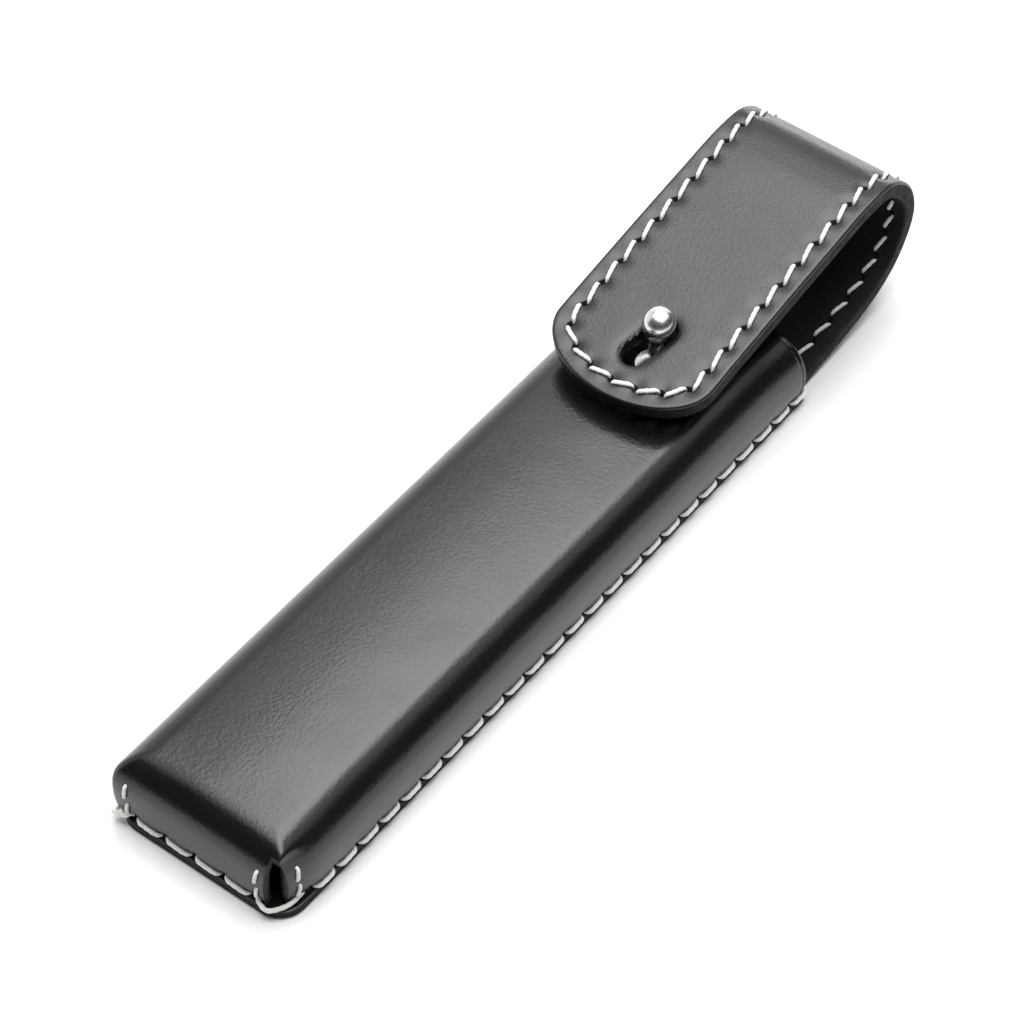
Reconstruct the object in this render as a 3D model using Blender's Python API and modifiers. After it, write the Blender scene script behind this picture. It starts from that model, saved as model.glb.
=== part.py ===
"""A slim leather pouch whose strap loops over the mouth and buttons down on a ball stud.

The case lies on its back: +Y runs from the closed end to the mouth and the loop, +Z is up, and the
origin is the middle of the back panel's underside. The strap follows one profile. A distance along
it equals y as far as the mouth, and an offset counts inwards from the strap's outer face.
"""

import math

import bmesh
import bpy
from mathutils import Vector

MM = 0.001

# Case
LENGTH = 145.0 * MM
END, MOUTH = -LENGTH / 2, LENGTH / 2
BACK_HALF = 18.4 * MM  # half the width of the back panel, which stands proud of the walls
BACK_CORNER = 5.0 * MM
BACK_THICK = 1.7 * MM
WALL_HALF = 17.4 * MM  # half the width over the side walls
WALL_END = END + 1.1 * MM  # outer face of the end wall
SHELL_THICK = 1.6 * MM
EDGE_HEIGHT = 15.5 * MM  # of the front panel, beside its rounded edges
EDGE_RADIUS = 4.1 * MM
CROWN = 1.3 * MM  # how much higher the middle of the front panel is
CROWN_RUN = 22.0 * MM  # over which the crown rises from the closed end
CORNER_RADIUS = 2.2 * MM  # of the upright corners, outside
SLIT = 2.0 * MM  # width of the open corner between the end wall and a side wall
SLIT_TOP = 13.0 * MM
GAP = 0.3 * MM  # air between pieces that touch
CUT_LENGTH = 15 * MM  # of the cutters, more than they cut through
TINY = 0.05 * MM

# Strap: the back panel runs on past the mouth, loops over and comes back as the flap
STRAP_HALF = 16.4 * MM
LINING_THICK = 1.3 * MM
LINING_HALF = 15.4 * MM  # between the walls
LINING_END = END + 3.4 * MM
STRAP_DRIFT = -0.6 * MM  # how far the strap strays sideways between the mouth and its tip
TIP_DEPTH = 10.8 * MM  # length of the flap's rounded end
PROFILE = [  # (y past the mouth, z) of the outer face, in millimetres, from the mouth to the flap's tip
    (0.0, 0.0),
    (6.1, 0.7),
    (16.5, 2.3),
    (26.2, 5.0),
    (33.0, 10.0),
    (36.7, 17.9),
    (34.6, 25.9),
    (28.4, 31.3),
    (20.2, 31.9),
    (9.7, 30.2),
    (-4.5, 27.7),
    (-21.2, 24.5),
    (-36.3, 21.3),
]
PROFILE_STEPS = 16  # points read between two of these
BEND_STEP, FLAT_STEP = 1.5 * MM, 2.5 * MM  # between stations where the strap bends, and elsewhere
LOWER_HINGE_Y = MOUTH + 28.8 * MM  # the strap bends here, low on the loop
UPPER_HINGE_Z = 28.2 * MM  # and here, above its nose

# Stud, with its screw inside the case
STUD_X, STUD_Y = 0.5 * MM, MOUTH - 20.6 * MM
BALL_RADIUS = 3.0 * MM
BALL_Z = 26.4 * MM
NECK_RADIUS = 1.3 * MM
FLANGE_RADIUS = 3.3 * MM
BARREL_RADIUS = 1.4 * MM
SCREW_RADIUS = 0.75 * MM
SCREW_DEPTH = 0.35 * MM  # of its hole above the flange's underside
SCREW_HEAD_RADIUS = 3.2 * MM
SCREW_HEAD_THICK = 1.1 * MM
SLOT_WIDTH, SLOT_DEPTH = 0.7 * MM, 0.5 * MM
KEYHOLE_HALF = 3.4 * MM
KEYHOLE_TIP, KEYHOLE_BACK = MOUTH - 29.6 * MM, MOUTH - 16.8 * MM  # y of the keyhole's two ends

# Thread
THREAD = 0.4 * MM  # its radius
CLEAR = THREAD + GAP  # from a face to the middle of the thread on it
ROW_HALF = 13.2 * MM  # from the middle of the strap to its stitch rows
ROW_FROM_TIP = 3.2 * MM
CORNER_ROW = 4.2 * MM  # from an open corner to the upright rows beside it
CORNER_ROW_LOW, CORNER_ROW_HIGH = 3.6 * MM, 10.8 * MM
BEND_ROOM = 1.8 * MM  # from a hinge to the ends of the thread either side of it
THREAD_BEND = 1.0 * MM  # at the foot of an upright row
UNDER_START = 9.5 * MM  # past the mouth, where the outer row clears the table
INNER_START = 1.0 * MM

OUTER_ROW = -CLEAR
INNER_ROW = BACK_THICK + GAP + LINING_THICK + CLEAR


# ---- tools -----------------------------------------------------------------------------------


def collection(name):
    made = bpy.data.collections.new(name)
    bpy.context.scene.collection.children.link(made)
    return made


def material(name, colour, rough, metallic=0.0):
    made = bpy.data.materials.new(name)
    made.use_nodes = True
    shader = made.node_tree.nodes["Principled BSDF"]
    shader.inputs["Base Color"].default_value = (*colour, 1.0)
    shader.inputs["Roughness"].default_value = rough
    shader.inputs["Metallic"].default_value = metallic
    return made


def from_bmesh(name, work, mat, group, smooth_below=30):
    """The object made of a bmesh, shaded smooth where its faces meet at less than an angle."""
    mesh = bpy.data.meshes.new(name)
    work.to_mesh(mesh)
    work.free()
    mesh.shade_smooth()
    mesh.set_sharp_from_angle(angle=math.radians(smooth_below))
    obj = bpy.data.objects.new(name, mesh)
    group.objects.link(obj)
    if mat:
        mesh.materials.append(mat)
    return obj


def empty(name, location, group, parent=None):
    made = bpy.data.objects.new(name, None)
    made.empty_display_size = 10 * MM
    group.objects.link(made)
    made.location = location
    if parent:
        made.parent = parent
        made.location = Vector(location) - parent.location
    return made


def attach(pieces, holder):
    bpy.context.view_layer.update()
    for piece in pieces:
        piece.parent = holder
        piece.matrix_parent_inverse = holder.matrix_world.inverted()


def cut(obj, cutter):
    modifier = obj.modifiers.new(cutter.name, "BOOLEAN")
    modifier.operation = "DIFFERENCE"
    modifier.solver = "EXACT"
    modifier.object = cutter


def as_cutter(obj):
    obj.hide_render = True
    obj.display_type = "WIRE"
    return obj


def box(name, size, location, group, turn=0.0):
    work = bmesh.new()
    bmesh.ops.create_cube(work, size=1.0)
    bmesh.ops.scale(work, vec=size, verts=work.verts)
    obj = from_bmesh(name, work, None, group)
    obj.location = location
    obj.rotation_euler.z = turn
    return obj


def turned(name, profile, mat, group, steps=36):
    """A profile of (radius, z) points, from top to bottom, turned about the stud's axis."""
    work = bmesh.new()
    points = [work.verts.new((radius, 0.0, z)) for radius, z in profile]
    for upper, lower in zip(points, points[1:]):
        work.edges.new((upper, lower))
    obj = from_bmesh(name, work, mat, group)
    obj.location = (STUD_X, STUD_Y, 0.0)
    screw = obj.modifiers.new("turn", "SCREW")
    screw.steps = screw.render_steps = steps
    screw.use_merge_vertices = True
    screw.merge_threshold = 0.001 * MM
    return obj


def thread(name, points, mat, group):
    """A round thread through the points, as a curve with filled ends."""
    curve = bpy.data.curves.new(name, "CURVE")
    curve.dimensions = "3D"
    curve.bevel_depth = THREAD
    curve.bevel_resolution = 2
    curve.use_fill_caps = True
    spline = curve.splines.new("POLY")
    spline.points.add(len(points) - 1)
    for point, place in zip(spline.points, points):
        point.co = (*place, 1.0)
    curve.materials.append(mat)
    obj = bpy.data.objects.new(name, curve)
    group.objects.link(obj)
    return obj


def spread(start, end, step):
    """Evenly spaced values from start to end, no further apart than a step."""
    count = max(1, math.ceil((end - start) / step))
    return [start + (end - start) * k / count for k in range(count + 1)]


def arc(centre, radius, start, end, count):
    """Points in a plane on a circle, or on an ellipse when the radius is a pair."""
    wide, high = radius if isinstance(radius, tuple) else (radius, radius)
    turns = [math.radians(start + (end - start) * k / count) for k in range(count + 1)]
    return [(centre[0] + wide * math.cos(t), centre[1] + high * math.sin(t)) for t in turns]


# ---- the strap's profile ---------------------------------------------------------------------


def through(before, a, b, after, t):
    """A point on the Catmull-Rom curve between a and b."""
    return (
        a
        + (b - before) * (t / 2)
        + (2 * before - 5 * a + 4 * b - after) * (t * t / 2)
        + (3 * a - before - 3 * b + after) * (t**3 / 2)
    )


def profile_points():
    """Close points on the outer face from the mouth to the tip, as (y, z), with their distances."""
    given = [Vector((MOUTH + y * MM, z * MM)) for y, z in PROFILE]
    given.insert(0, given[0] - Vector((6 * MM, 0)))
    given.append(2 * given[-1] - given[-2])
    points = []
    for i in range(1, len(given) - 2):
        points += [through(*given[i - 1 : i + 3], k / PROFILE_STEPS) for k in range(PROFILE_STEPS)]
    points.append(given[-2])
    distances = [MOUTH]
    for a, b in zip(points, points[1:]):
        distances.append(distances[-1] + (b - a).length)
    return points, distances


POINTS, DISTANCES = profile_points()
TIP = DISTANCES[-1]
TIP_BASE = TIP - TIP_DEPTH  # where the flap's end starts to round
LOWER_HINGE = next(s for s, p in zip(DISTANCES, POINTS) if p.x >= LOWER_HINGE_Y)
UPPER_HINGE = next(s for s, p in zip(DISTANCES, POINTS) if p.y >= UPPER_HINGE_Z)


def outer_face(s):
    """The place (y, z) and direction of the outer face at a distance."""
    if s <= MOUTH:
        return Vector((s, 0.0)), Vector((1.0, 0.0))
    last = len(POINTS) - 1
    i = next((k for k, distance in enumerate(DISTANCES) if distance >= s), last)
    i = max(i, 1)
    share = (s - DISTANCES[i - 1]) / (DISTANCES[i] - DISTANCES[i - 1])

    def direction(k):
        return (POINTS[min(k + 1, last)] - POINTS[max(k - 1, 0)]).normalized()

    place = POINTS[i - 1].lerp(POINTS[i], share)
    return place, direction(i - 1).lerp(direction(i), share).normalized()


def strap_shift(s):
    return STRAP_DRIFT * max(s - MOUTH, 0.0) / (TIP - MOUTH)


def on_strap(s, x, offset):
    place, way = outer_face(s)
    return Vector((x + strap_shift(s), place.x - way.y * offset, place.y + way.x * offset))


def hinge_axis(s):
    """A point on the outer face, about which the strap unrolls without its ends meeting."""
    return on_strap(s, 0.0, 0.0)


def strip(name, stations, offset, thick, mat, group):
    """A strip of leather along the strap, from stations of (distance, half width), made thick."""
    rows = len(stations) - 1
    work = bmesh.new()
    bmesh.ops.create_grid(work, x_segments=1, y_segments=rows, size=1.0)
    for vert in work.verts:
        s, half = stations[round((vert.co.y + 1) / 2 * rows)]
        vert.co = on_strap(s, vert.co.x * half, offset)
    obj = from_bmesh(name, work, mat, group)
    solid = obj.modifiers.new("thickness", "SOLIDIFY")
    solid.thickness = thick
    solid.offset = 1.0
    solid.use_even_offset = True
    return obj


# ---- leather ---------------------------------------------------------------------------------


def back_panel(mat, group):
    """The back, which runs on as the strap's outer layer to the lower hinge."""
    round_end = arc((END + BACK_CORNER, BACK_HALF - BACK_CORNER), BACK_CORNER, 180, 90, 6)
    stub = [(s, STRAP_HALF) for s in spread(MOUTH + TINY, LOWER_HINGE - GAP / 2, BEND_STEP)]
    stations = round_end + [(0.0, BACK_HALF), (MOUTH, BACK_HALF)] + stub
    return strip("back_panel", stations, 0.0, BACK_THICK, mat, group)


def back_lining(mat, group):
    """The strap's inner layer, which also lines the back between the walls."""
    start = MOUTH + GAP
    inside = [(LINING_END, LINING_HALF), (0.0, LINING_HALF), (start, LINING_HALF)]
    stub = [(s, STRAP_HALF) for s in spread(start + TINY, LOWER_HINGE - GAP / 2, BEND_STEP)]
    return strip("back_lining", inside + stub, BACK_THICK + GAP, LINING_THICK, mat, group)


def loop_layers(outer_mat, inner_mat, group):
    inside = spread(LOWER_HINGE + GAP / 2, UPPER_HINGE - GAP / 2, BEND_STEP)
    stations = [(s, STRAP_HALF) for s in inside]
    return [
        strip("loop_outer", stations, 0.0, BACK_THICK, outer_mat, group),
        strip("loop_lining", stations, BACK_THICK + GAP, LINING_THICK, inner_mat, group),
    ]


def flap_layers(outer_mat, inner_mat, group, keyhole):
    stations = [(s, STRAP_HALF) for s in spread(UPPER_HINGE + GAP / 2, TIP_BASE, FLAT_STEP)]
    stations += arc((TIP_BASE, 0.0), (TIP_DEPTH, STRAP_HALF), 90, 4, 12)[1:]
    layers = [
        strip("flap_outer", stations, 0.0, BACK_THICK, outer_mat, group),
        strip("flap_lining", stations, BACK_THICK + GAP, LINING_THICK, inner_mat, group),
    ]
    for layer in layers:
        cut(layer, keyhole)
    return layers


def crown_at(x, y):
    along = min(max((y - WALL_END) / CROWN_RUN, 0.0), 1.0)
    return CROWN * (1 - (x / WALL_HALF) ** 2) * math.sin(along * math.pi / 2)


def front_shell(mat, group):
    """Front panel, side walls and end wall in one: an open box, rounded, crowned and made thick."""
    low = BACK_THICK + GAP
    work = bmesh.new()
    bmesh.ops.create_cube(work, size=1.0)
    bmesh.ops.scale(work, vec=(2 * WALL_HALF, MOUTH - WALL_END, EDGE_HEIGHT - low), verts=work.verts)
    centre = (0.0, (MOUTH + WALL_END) / 2, (EDGE_HEIGHT + low) / 2)
    bmesh.ops.translate(work, vec=centre, verts=work.verts)
    across = [(Vector((WALL_HALF * k / 3, 0, 0)), Vector((1, 0, 0))) for k in (-1, 0, 1)]
    along = [(Vector((0, WALL_END + CROWN_RUN * k, 0)), Vector((0, 1, 0))) for k in (0.5, 1, 2, 4)]
    for place, normal in across + along:
        geometry = work.verts[:] + work.edges[:] + work.faces[:]
        bmesh.ops.bisect_plane(work, geom=geometry, plane_co=place, plane_no=normal)
    opened = [f for f in work.faces if f.normal.z < -0.9 or f.normal.y > 0.9]
    bmesh.ops.delete(work, geom=opened, context="FACES")
    weight = work.edges.layers.float.new("bevel_weight_edge")
    for edge in work.edges:
        if len(edge.link_faces) == 2 and edge.calc_face_angle() > 1.0:
            upright = abs((edge.verts[0].co - edge.verts[1].co).normalized().z) > 0.9
            edge[weight] = CORNER_RADIUS / EDGE_RADIUS if upright else 1.0
    for vert in work.verts:
        if vert.co.z > EDGE_HEIGHT - TINY:
            vert.co.z += crown_at(vert.co.x, vert.co.y)
    obj = from_bmesh("front_shell", work, mat, group)
    rounding = obj.modifiers.new("rounded edges", "BEVEL")
    rounding.limit_method = "WEIGHT"
    rounding.width = EDGE_RADIUS
    rounding.segments = 6
    solid = obj.modifiers.new("thickness", "SOLIDIFY")
    solid.thickness = SHELL_THICK
    solid.offset = -1.0
    solid.use_even_offset = True
    return obj


# ---- cutters ---------------------------------------------------------------------------------


def corner_slits(group):
    size = (SLIT, CUT_LENGTH, 2 * SLIT_TOP)
    return [
        as_cutter(box("slit_" + label, size, (side * WALL_HALF, WALL_END, 0.0), group, side * math.pi / 4))
        for side, label in ((-1, "left"), (1, "right"))
    ]


def barrel_hole(group):
    top, low = EDGE_HEIGHT + CUT_LENGTH / 2, EDGE_HEIGHT - CUT_LENGTH / 2
    radius = BARREL_RADIUS + GAP
    return as_cutter(turned("barrel_hole", [(0, top), (radius, top), (radius, low), (0, low)], None, group))


def keyhole_cutter(group):
    """An oblong through the flap: a flat outline, drawn up into a prism."""
    back = arc((STUD_X, KEYHOLE_BACK - KEYHOLE_HALF), KEYHOLE_HALF, 0, 180, 12)
    tip = arc((STUD_X, KEYHOLE_TIP + KEYHOLE_HALF), KEYHOLE_HALF, 180, 360, 12)
    work = bmesh.new()
    outline = work.faces.new([work.verts.new((x, y, EDGE_HEIGHT)) for x, y in back + tip])
    drawn = bmesh.ops.extrude_face_region(work, geom=[outline])
    moved = [item for item in drawn["geom"] if isinstance(item, bmesh.types.BMVert)]
    bmesh.ops.translate(work, vec=(0, 0, CUT_LENGTH), verts=moved)
    bmesh.ops.recalc_face_normals(work, faces=work.faces)
    return as_cutter(from_bmesh("keyhole", work, None, group))


# ---- stud ------------------------------------------------------------------------------------


def stud_head(mat, group):
    """Ball, neck and flange, with a hollow barrel down through the front panel."""
    top = EDGE_HEIGHT + crown_at(STUD_X, STUD_Y)
    base = top + GAP
    barrel_end = top - SHELL_THICK + GAP
    joint = math.degrees(math.acos(NECK_RADIUS / BALL_RADIUS))
    profile = arc((0.0, BALL_Z), BALL_RADIUS, 90, -joint, 14)
    profile[0] = (0.0, BALL_Z + BALL_RADIUS)
    neck = ((1.3, 3.6), (1.45, 2.5), (1.85, 1.5), (2.5, 0.85), (3.2, 0.5))  # radius and height of its flare
    profile += [(radius * MM, base + height * MM) for radius, height in neck]
    profile += [(FLANGE_RADIUS, base + 0.2 * MM), (FLANGE_RADIUS - 0.2 * MM, base), (BARREL_RADIUS, base)]
    hole = SCREW_RADIUS + GAP
    profile += [(BARREL_RADIUS, barrel_end), (hole, barrel_end)]
    profile += [(hole, base + SCREW_DEPTH), (0.0, base + SCREW_DEPTH)]
    return turned("stud_head", profile, mat, group)


def stud_screw(mat, group, slot):
    """The screw inside the case, whose shank runs up into the barrel."""
    top = EDGE_HEIGHT + crown_at(STUD_X, STUD_Y)
    head = top - SHELL_THICK - GAP
    rim = SCREW_HEAD_RADIUS
    low = head - SCREW_HEAD_THICK
    profile = [(0.0, top + GAP), (SCREW_RADIUS, top + GAP), (SCREW_RADIUS, head), (rim, head)]
    profile += [(rim, low + 0.4 * MM), (rim - 0.4 * MM, low), (0.0, low)]
    screw = turned("stud_screw", profile, mat, group)
    slot.location = (STUD_X, STUD_Y, low)
    cut(screw, slot)
    return screw


# ---- thread ----------------------------------------------------------------------------------


def base_thread(mat, group):
    """The seam between the walls and the back panel, round three sides."""
    x, y, z = WALL_HALF + CLEAR, WALL_END - CLEAR, BACK_THICK + CLEAR
    turn = CORNER_RADIUS + CLEAR
    left = [(-x, MOUTH - THREAD * 2), (-x, 0.0)] + arc((-x + turn, y + turn), turn, 180, 270, 4)
    path = left + [(-px, py) for px, py in reversed(left)]
    return thread("base_thread", [(px, py, z) for px, py in path], mat, group)


def corner_threads(mat, group):
    """Two upright rows beside each open corner, joined by one stitch across it."""
    x, y = WALL_HALF + CLEAR, WALL_END - CLEAR
    turn = CORNER_RADIUS + CLEAR
    wall_row, end_row = WALL_END + CORNER_ROW, WALL_HALF - CORNER_ROW
    low, bend = CORNER_ROW_LOW, THREAD_BEND
    pieces = []
    for side, label in ((-1, "left"), (1, "right")):
        bridge = [(px, py, low) for px, py in arc((x - turn, y + turn), turn, 0, -90, 4)]
        path = [(x, wall_row, CORNER_ROW_HIGH), (x, wall_row, low + bend), (x, wall_row - bend, low)]
        path += bridge + [(end_row + bend, y, low), (end_row, y, low + bend), (end_row, y, CORNER_ROW_HIGH)]
        path = [(side * px, py, pz) for px, py, pz in path]
        pieces.append(thread("corner_thread_" + label, path, mat, group))
    return pieces


def strap_rows(mat, group):
    """The stitch rows on both faces of the strap: pieces of the case, the loop and the flap."""
    case, loop, flap = [], [], []
    for face, offset, start in (("out", OUTER_ROW, UNDER_START), ("in", INNER_ROW, INNER_START)):
        for side, label in ((-1, "left"), (1, "right")):
            x = side * ROW_HALF
            row = spread(MOUTH + start, LOWER_HINGE - BEND_ROOM, FLAT_STEP)
            name = f"strap_thread_{label}_{face}"
            case.append(thread(name, [on_strap(s, x, offset) for s in row], mat, group))
            row = spread(LOWER_HINGE + BEND_ROOM, UPPER_HINGE - BEND_ROOM, BEND_STEP)
            name = f"loop_thread_{label}_{face}"
            loop.append(thread(name, [on_strap(s, x, offset) for s in row], mat, group))
        side_row = [(s, -ROW_HALF) for s in spread(UPPER_HINGE + BEND_ROOM, TIP_BASE, FLAT_STEP)]
        round_tip = arc((TIP_BASE, 0.0), (TIP_DEPTH - ROW_FROM_TIP, -ROW_HALF), 90, -90, 14)
        path = side_row[:-1] + round_tip + [(s, -x) for s, x in reversed(side_row[:-1])]
        flap.append(thread("flap_thread_" + face, [on_strap(s, x, offset) for s, x in path], mat, group))
    return case, loop, flap


# ---- assembly --------------------------------------------------------------------------------


def main():
    for obj in list(bpy.data.objects):
        bpy.data.objects.remove(obj)
    parts = collection("leather_pouch")
    cutters = collection("cutters")
    hide = material("leather_black", (0.018, 0.018, 0.018), 0.28)
    lining = material("leather_lining", (0.012, 0.012, 0.012), 0.6)
    cotton = material("thread_white", (0.82, 0.81, 0.78), 0.8)
    chrome = material("chrome", (0.78, 0.78, 0.79), 0.06, 1.0)
    steel = material("screw_steel", (0.55, 0.55, 0.56), 0.3, 1.0)

    keyhole = keyhole_cutter(cutters)
    slot_size = (4 * SCREW_HEAD_RADIUS, SLOT_WIDTH, 2 * SLOT_DEPTH)
    slot = as_cutter(box("screw_slot", slot_size, (0.0, 0.0, 0.0), cutters))
    shell = front_shell(hide, parts)
    for cutter in [*corner_slits(cutters), barrel_hole(cutters)]:
        cut(shell, cutter)

    case_rows, loop_rows, flap_rows = strap_rows(cotton, parts)
    case = [back_panel(hide, parts), back_lining(lining, parts), shell]
    case += [stud_head(chrome, parts), stud_screw(steel, parts, slot)]
    case += [base_thread(cotton, parts), *corner_threads(cotton, parts), *case_rows]
    loop = loop_layers(hide, lining, parts) + loop_rows
    flap = flap_layers(hide, lining, parts, keyhole) + flap_rows

    root = empty("case_origin", (0.0, 0.0, 0.0), parts)
    loop_hinge = empty("loop_bend_axis", hinge_axis(LOWER_HINGE), parts, root)
    flap_hinge = empty("flap_bend_axis", hinge_axis(UPPER_HINGE), parts, loop_hinge)
    attach(case, root)
    attach(loop, loop_hinge)
    attach(flap, flap_hinge)


main()
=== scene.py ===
"""The looks of a slim leather pouch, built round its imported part.

The strap is laid out flat and then bent: s is the distance along its outer face from the mouth,
x is across it, and depth goes in from the outer face. A skin is a closed body between an outer and
an inner set of points with the same numbering.
"""

import math

import bmesh
import bpy
import numpy as np
from mathutils import Matrix, Vector


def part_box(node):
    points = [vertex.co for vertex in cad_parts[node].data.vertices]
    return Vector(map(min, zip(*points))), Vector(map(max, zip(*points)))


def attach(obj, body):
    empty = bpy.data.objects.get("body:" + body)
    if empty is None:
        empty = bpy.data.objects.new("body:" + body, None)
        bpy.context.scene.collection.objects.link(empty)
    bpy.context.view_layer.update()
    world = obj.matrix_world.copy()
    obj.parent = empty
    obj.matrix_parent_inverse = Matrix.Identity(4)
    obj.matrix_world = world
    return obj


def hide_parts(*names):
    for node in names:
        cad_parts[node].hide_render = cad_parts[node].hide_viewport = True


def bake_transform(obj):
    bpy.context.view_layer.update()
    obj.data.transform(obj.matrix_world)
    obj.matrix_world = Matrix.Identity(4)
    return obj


MM = 0.001

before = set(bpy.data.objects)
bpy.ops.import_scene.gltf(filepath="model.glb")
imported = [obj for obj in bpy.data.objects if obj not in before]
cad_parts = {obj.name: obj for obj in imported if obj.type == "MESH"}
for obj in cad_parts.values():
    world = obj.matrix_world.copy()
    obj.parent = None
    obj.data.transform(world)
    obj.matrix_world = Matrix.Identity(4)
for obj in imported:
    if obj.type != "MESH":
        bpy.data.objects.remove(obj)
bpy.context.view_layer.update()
SHELL_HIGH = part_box("front_shell")[1]
PANEL_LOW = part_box("back_panel")[0]
STUD_LOW, STUD_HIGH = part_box("stud_head")
FLAP_LOW, FLAP_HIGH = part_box("flap_outer")

# Case
END, MOUTH = PANEL_LOW.y, SHELL_HIGH.y
BACK_HALF = -PANEL_LOW.x
BACK_CORNER = 5.0 * MM
BACK_THICK = 1.7 * MM
SHELL_THICK = 1.6 * MM
SHELL_HALF = BACK_HALF + 0.35 * MM  # where the walls bulge most
SHELL_END = END + 0.2 * MM
BULGE_Z, BULGE = 6.8 * MM, 26.0  # height of that bulge, and how sharply it curves
SECTION_RADIUS = 6.4 * MM  # of the front's long edges
SECTION_TOP = SHELL_HIGH.z - 1.8 * MM
WALL_LEAN = math.radians(12)  # from upright, where the wall turns into the edge
CROWN, CROWN_RUN = 1.1 * MM, 24.0 * MM  # how much higher the middle of the front is
MOUTH_SINK, SINK_RUN = 1.2 * MM, 20.0 * MM
CORNER = 1.6 * MM  # plan radius of the upright corners
RIM_ROUND = 0.45 * MM
RIM_CREASE = 1.1 * MM  # from the mouth's edge to the line pressed beside it
CREASE_DEPTH = CREASE_WIDTH = 0.16 * MM
SIDE_RUN = 144.0  # about the length of a side, in millimetres
CORNER_CUTS = (  # name, (x, y from the end wall) at the foot and at the top, height of the top
    ("right_cut", (13.7 * MM, 3.0 * MM), (14.3 * MM, 2.6 * MM), 13.4 * MM),
    ("left_cut", (-17.6 * MM, 4.0 * MM), (-18.25 * MM, 2.6 * MM), 12.0 * MM),
)
DIMPLE_DEPTH, DIMPLE_WIDTH, DIMPLE_Z = 0.35 * MM, 0.9 * math.sqrt(2) * MM, 2.6 * MM
WELD = 1e-7  # points closer than this become one

# Strap
STRAP_HALF = (FLAP_HIGH.x - FLAP_LOW.x) / 2
STRAP_DRIFT = -0.6 * MM  # how far the strap strays sideways between the mouth and its tip
OUTER_THICK, STRAP_THICK = 1.85 * MM, 3.3 * MM
EDGE_ROUND = 0.5 * MM
LINING_HALF, LINING_START = 15.4 * MM, -141 * MM  # inside the case, where it starts near the end
TIP_DEPTH = 10.8 * MM
PROFILE = [  # (y past the mouth, z) of the outer face, in millimetres, as the part has it
    (0.0, 0.0),
    (6.1, 0.7),
    (16.5, 2.3),
    (26.2, 5.0),
    (33.0, 10.0),
    (36.7, 17.9),
    (34.6, 25.9),
    (28.4, 31.3),
    (20.2, 31.9),
    (9.7, 30.2),
    (-4.5, 27.7),
    (-21.2, 24.5),
    (-36.3, 21.3),
]
PROFILE_STEPS = 16
NOSE_POINT = 5  # of the profile, where the strap is furthest from the mouth

# Keyhole, as (s, x) on the strap
KEYHOLE_HALF = 2.6 * MM
KEYHOLE_TIP = 9.9 * MM  # from the flap's tip to the middle of its round end
KEYHOLE_TIP_X = 0.3 * MM
KEYHOLE_LENGTH, KEYHOLE_TURN = 6.6 * MM, math.radians(12)
KEYHOLE_LIP = 0.6 * MM  # how far its edge is pressed in, and how wide

# Thread
THREAD = 0.42 * MM  # radius
PLY_LOBES, PLY_TWIST, PLY_RELIEF = 2, 2.4 * MM, 0.08  # relief is a share of the radius
END_TAPER = 0.3  # how much thinner a stitch is at its ends
ROW_INSET = 3.2 * MM  # from the strap's edge
PITCHES = (  # (pitch, stitches) on either side, from the tip on
    (4.85 * MM, 4),
    (5.42 * MM, 7),
    (4.9 * MM, 4),
    (5.6 * MM, 12),
)
HOLE_HALF = 0.55 * MM  # from a hole's middle to where the thread goes in, along the row
SLANT = 0.5 * MM  # how far a stitch's ends stray to either side of the row
RISE, DIVE = 0.2 * MM, 0.75 * MM  # of a stitch's middle over the leather, and of its ends into it
REST_DEPTH = 1.1 * THREAD  # of a thread that mustn't reach below the table's plane
NEAR_TABLE = 20 * MM  # from the mouth, over which the strap lies that low
INNER_THREAD, INNER_GAP = 0.36 * MM, 0.35 * MM  # inside, threads are thinner and stitches shorter
PULL_DEPTH, PULL_WIDTH = 0.34 * MM, math.sqrt(2) * MM  # of the leather drawn in round a hole
PIT_DEPTH, PIT_LONG, PIT_SHORT = 0.9 * MM, 0.55 * MM, 0.26 * MM  # of the hole itself
BASE_PITCH, BASE_FIRST, BASE_STITCHES = 5.55 * MM, 10.4 * MM, 25
END_PITCH, END_FIRST, END_STITCHES = 6.26 * MM, -10.8 * MM, 4
PANEL_ROW = 1.9 * MM  # from the panel's edge to the stitches underneath
UPRIGHTS = ((3.2 * MM, 6.5 * MM), (7.4 * MM, 10.7 * MM))  # heights of a corner column's stitches
UPRIGHT_THREAD = 0.34 * MM
SIDE_COLUMN = SHELL_END + 4.6 * MM
END_COLUMNS = {"left": -14.9 * MM, "right": 12.5 * MM}
BRIDGE_BENDS = {"left": -17.9 * MM, "right": 15.0 * MM}  # where the bridging stitch turns
WALL_WAYS = {"left": (-1, 0), "right": (1, 0), "end": (0, -1)}  # outwards, in plan
WALL_DIVE = 0.9 * MM  # how far a stitch's ends go into a wall

# Stud
BALL, BALL_DROP = 3.0 * MM, 0.4 * MM  # its radius, and how much lower it is than the part's
NECK, COLLAR, FLANGE = 1.28 * MM, 1.72 * MM, 3.34 * MM  # radii
FLARE_HIGH, FLARE_LOW = 3.4 * MM, 0.45 * MM  # ends of the flange's flare, above the front
STUD_LEAN = (-0.03, -0.08)  # sideways for each metre down

# Camera
VIEW_TURN, VIEW_RISE = math.radians(37.64), math.radians(48.96)
EYE = (262.1 * MM, -329.1 * MM, 506.2 * MM)
FOCAL_LENGTH, SENSOR = 134.72, 36.0  # millimetres


# ---- curves and points -----------------------------------------------------------------------


def through(before, a, b, after, t):
    """A point on the Catmull-Rom curve between a and b."""
    return (
        a
        + (b - before) * (t / 2)
        + (2 * before - 5 * a + 4 * b - after) * (t * t / 2)
        + (3 * a - before - 3 * b + after) * (t**3 / 2)
    )


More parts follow.
